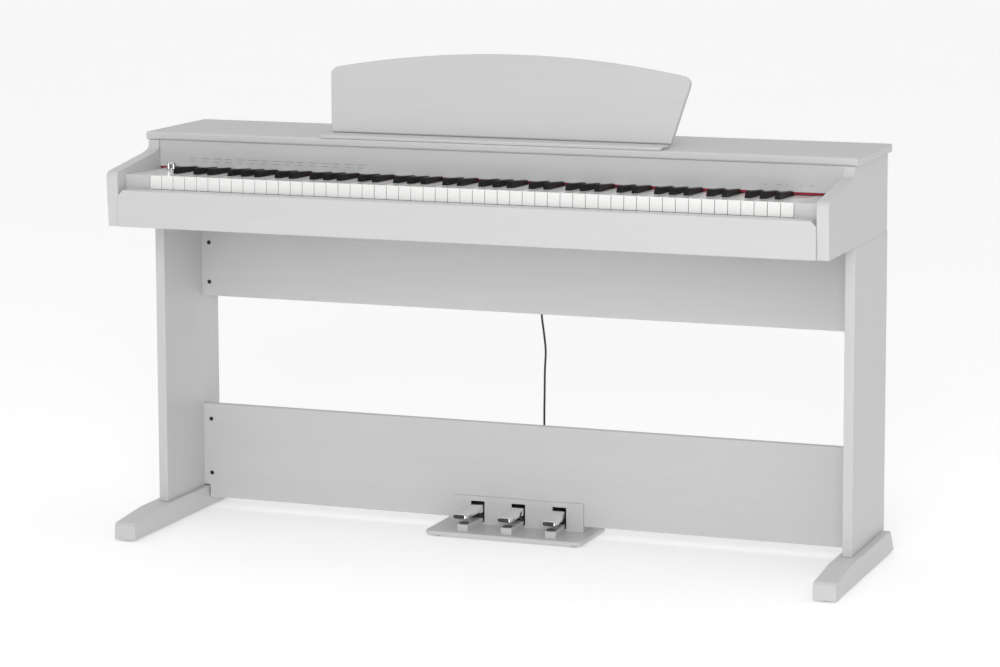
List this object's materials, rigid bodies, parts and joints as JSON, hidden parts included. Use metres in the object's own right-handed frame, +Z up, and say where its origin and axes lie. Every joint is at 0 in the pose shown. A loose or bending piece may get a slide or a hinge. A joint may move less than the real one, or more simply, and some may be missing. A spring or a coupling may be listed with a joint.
{
  "type": "digital piano on stand",
  "caption": "Digital piano on a panel stand: full keyboard in a low cabinet with rounded arms, folding music rest, volume knob and a three-pedal unit.",
  "frame": {"origin": "on the floor, under the middle of the piano's footprint (feet, front of the key slip)", "axes": "+X along the keyboard towards the treble, +Y to the back, +Z up; the player faces +Y"},
  "size_m": [1.388, 0.444, 0.9098],
  "materials": {
    "laminate": "satin white laminate on board",
    "key_white": "polished white",
    "key_black": "satin black",
    "red_felt": "crimson felt",
    "steel": "zinc-plated",
    "black_steel": "black powder coat",
    "chrome": "polished",
    "rubber": "matt black",
    "grey_rubber": "silicone",
    "board_green": "solder-masked board",
    "black_plastic": "moulded black",
    "grey_plastic": "moulded grey"
  },
  "bodies": {
    "piano": {"lid": "laminate", "left_side_panel": "laminate", "right_side_panel": "laminate", "key_slip": "laminate", "end_blocks": "laminate", "control_panel": "laminate", "key_bed": "laminate", "cabinet_back": "laminate", "felt_strip": "red_felt", "keyboard_frame": "steel", "contact_strips": "grey_rubber", "circuit_boards": "board_green", "speakers": "black_plastic", "speaker_grilles": "black_steel", "socket_panel": "black_plastic", "volume_pot": "steel", "music_ledge": "laminate", "fixed_hinge_leaves": "steel", "left_leg": "laminate", "right_leg": "laminate", "left_foot": "laminate", "right_foot": "laminate", "upper_back_panel": "laminate", "lower_back_panel": "laminate", "corner_brackets": "black_steel", "panel_screws": "black_steel", "foot_glides": "rubber", "pedal_box": "laminate", "pedal_base": "laminate", "pedal_pads": "rubber", "pedal_shaft": "steel", "left_pedal_spring": "steel", "middle_pedal_spring": "steel", "right_pedal_spring": "steel", "cable_gland": "rubber", "pedal_cable": "rubber", "cable_plug": "black_plastic"},
    "music_rest": {"music_board": "laminate", "board_hinge_leaves": "steel"},
    "left_pedal": {"left_pedal": "chrome"},
    "middle_pedal": {"middle_pedal": "chrome"},
    "right_pedal": {"right_pedal": "chrome"},
    "volume_knob": {"volume_knob": "chrome"},
    "power_button": {"power_button": "grey_plastic"},
    "white_key_c4": {"white_key_c4": "key_white"},
    "black_key_cs4": {"black_key_cs4": "key_black"},
    "white_key_d4": {"white_key_d4": "key_white"},
    "black_key_ds4": {"black_key_ds4": "key_black"},
    "white_key_e4": {"white_key_e4": "key_white"},
    "white_key_f4": {"white_key_f4": "key_white"},
    "black_key_fs4": {"black_key_fs4": "key_black"},
    "white_key_g4": {"white_key_g4": "key_white"},
    "black_key_gs4": {"black_key_gs4": "key_black"},
    "white_key_a4": {"white_key_a4": "key_white"},
    "black_key_as4": {"black_key_as4": "key_black"},
    "white_key_b4": {"white_key_b4": "key_white"},
    "lower_white_keys": {"lower_white_keys": "key_white"},
    "lower_black_keys": {"lower_black_keys": "key_black"},
    "upper_white_keys": {"upper_white_keys": "key_white"},
    "upper_black_keys": {"upper_black_keys": "key_black"}
  },
  "joints": [
    {"name": "music_rest_fold", "type": "hinge", "parent": "piano", "child": "music_rest", "pos_m": [0, 0.01891, 0.75925], "axis": [-1, 0, 0], "range_deg": [0, 65]},
    {"name": "left_pedal_press", "type": "hinge", "parent": "piano", "child": "left_pedal", "pos_m": [-0.089, 0.17, 0.04], "axis": [1, 0, 0], "range_deg": [0, 5.5], "stiffness_Nm_per_rad": 15, "springref_deg": -5.73, "deforming": ["left_pedal_spring"]},
    {"name": "middle_pedal_press", "type": "hinge", "parent": "piano", "child": "middle_pedal", "pos_m": [-0.007, 0.17, 0.04], "axis": [1, 0, 0], "range_deg": [0, 5.5], "stiffness_Nm_per_rad": 15, "springref_deg": -5.73, "deforming": ["middle_pedal_spring"]},
    {"name": "right_pedal_press", "type": "hinge", "parent": "piano", "child": "right_pedal", "pos_m": [0.075, 0.17, 0.04], "axis": [1, 0, 0], "range_deg": [0, 5.5], "stiffness_Nm_per_rad": 15, "springref_deg": -5.73, "deforming": ["right_pedal_spring"]},
    {"name": "volume_turn", "type": "hinge", "parent": "piano", "child": "volume_knob", "pos_m": [-0.622, -0.076, 0.69], "axis": [0, 0, -1], "range_deg": [-140, 140]},
    {"name": "power_press", "type": "slide", "parent": "piano", "child": "power_button", "axis": [0, -1, 0], "range_m": [0, 0.0025], "stiffness_N_per_m": 300, "springref_m": -0.004},
    {"name": "white_key_c4_press", "type": "hinge", "parent": "piano", "child": "white_key_c4", "pos_m": [-0.0587, 0.03, 0.67546], "axis": [1, 0, 0], "range_deg": [0, 2.6], "stiffness_Nm_per_rad": 1, "springref_deg": -9.74},
    {"name": "black_key_cs4_press", "type": "hinge", "parent": "piano", "child": "black_key_cs4", "pos_m": [-0.047, 0.03, 0.67546], "axis": [1, 0, 0], "range_deg": [0, 2.6], "stiffness_Nm_per_rad": 1, "springref_deg": -6.88},
    {"name": "white_key_d4_press", "type": "hinge", "parent": "piano", "child": "white_key_d4", "pos_m": [-0.0352, 0.03, 0.67546], "axis": [1, 0, 0], "range_deg": [0, 2.6], "stiffness_Nm_per_rad": 1, "springref_deg": -9.74},
    {"name": "black_key_ds4_press", "type": "hinge", "parent": "piano", "child": "black_key_ds4", "pos_m": [-0.0235, 0.03, 0.67546], "axis": [1, 0, 0], "range_deg": [0, 2.6], "stiffness_Nm_per_rad": 1, "springref_deg": -6.88},
    {"name": "white_key_e4_press", "type": "hinge", "parent": "piano", "child": "white_key_e4", "pos_m": [-0.0118, 0.03, 0.67546], "axis": [1, 0, 0], "range_deg": [0, 2.6], "stiffness_Nm_per_rad": 1, "springref_deg": -9.74},
    {"name": "white_key_f4_press", "type": "hinge", "parent": "piano", "child": "white_key_f4", "pos_m": [0.0118, 0.03, 0.67546], "axis": [1, 0, 0], "range_deg": [0, 2.6], "stiffness_Nm_per_rad": 1, "springref_deg": -9.74},
    {"name": "black_key_fs4_press", "type": "hinge", "parent": "piano", "child": "black_key_fs4", "pos_m": [0.0235, 0.03, 0.67546], "axis": [1, 0, 0], "range_deg": [0, 2.6], "stiffness_Nm_per_rad": 1, "springref_deg": -6.88},
    {"name": "white_key_g4_press", "type": "hinge", "parent": "piano", "child": "white_key_g4", "pos_m": [0.0352, 0.03, 0.67546], "axis": [1, 0, 0], "range_deg": [0, 2.6], "stiffness_Nm_per_rad": 1, "springref_deg": -9.74},
    {"name": "black_key_gs4_press", "type": "hinge", "parent": "piano", "child": "black_key_gs4", "pos_m": [0.047, 0.03, 0.67546], "axis": [1, 0, 0], "range_deg": [0, 2.6], "stiffness_Nm_per_rad": 1, "springref_deg": -6.88},
    {"name": "white_key_a4_press", "type": "hinge", "parent": "piano", "child": "white_key_a4", "pos_m": [0.0587, 0.03, 0.67546], "axis": [1, 0, 0], "range_deg": [0, 2.6], "stiffness_Nm_per_rad": 1, "springref_deg": -9.74},
    {"name": "black_key_as4_press", "type": "hinge", "parent": "piano", "child": "black_key_as4", "pos_m": [0.0705, 0.03, 0.67546], "axis": [1, 0, 0], "range_deg": [0, 2.6], "stiffness_Nm_per_rad": 1, "springref_deg": -6.88},
    {"name": "white_key_b4_press", "type": "hinge", "parent": "piano", "child": "white_key_b4", "pos_m": [0.0823, 0.03, 0.67546], "axis": [1, 0, 0], "range_deg": [0, 2.6], "stiffness_Nm_per_rad": 1, "springref_deg": -9.74},
    {"name": "lower_white_keys_press", "type": "hinge", "parent": "piano", "child": "lower_white_keys", "pos_m": [-0.34, 0.03, 0.67546], "axis": [1, 0, 0], "range_deg": [0, 2.6], "stiffness_Nm_per_rad": 23, "springref_deg": -9.74},
    {"name": "lower_black_keys_press", "type": "hinge", "parent": "piano", "child": "lower_black_keys", "pos_m": [-0.34, 0.03, 0.67546], "axis": [1, 0, 0], "range_deg": [0, 2.6], "stiffness_Nm_per_rad": 16, "springref_deg": -6.88},
    {"name": "upper_white_keys_press", "type": "hinge", "parent": "piano", "child": "upper_white_keys", "pos_m": [0.35, 0.03, 0.67546], "axis": [1, 0, 0], "range_deg": [0, 2.6], "stiffness_Nm_per_rad": 22, "springref_deg": -9.74},
    {"name": "upper_black_keys_press", "type": "hinge", "parent": "piano", "child": "upper_black_keys", "pos_m": [0.35, 0.03, 0.67546], "axis": [1, 0, 0], "range_deg": [0, 2.6], "stiffness_Nm_per_rad": 15, "springref_deg": -6.88}
  ]
}
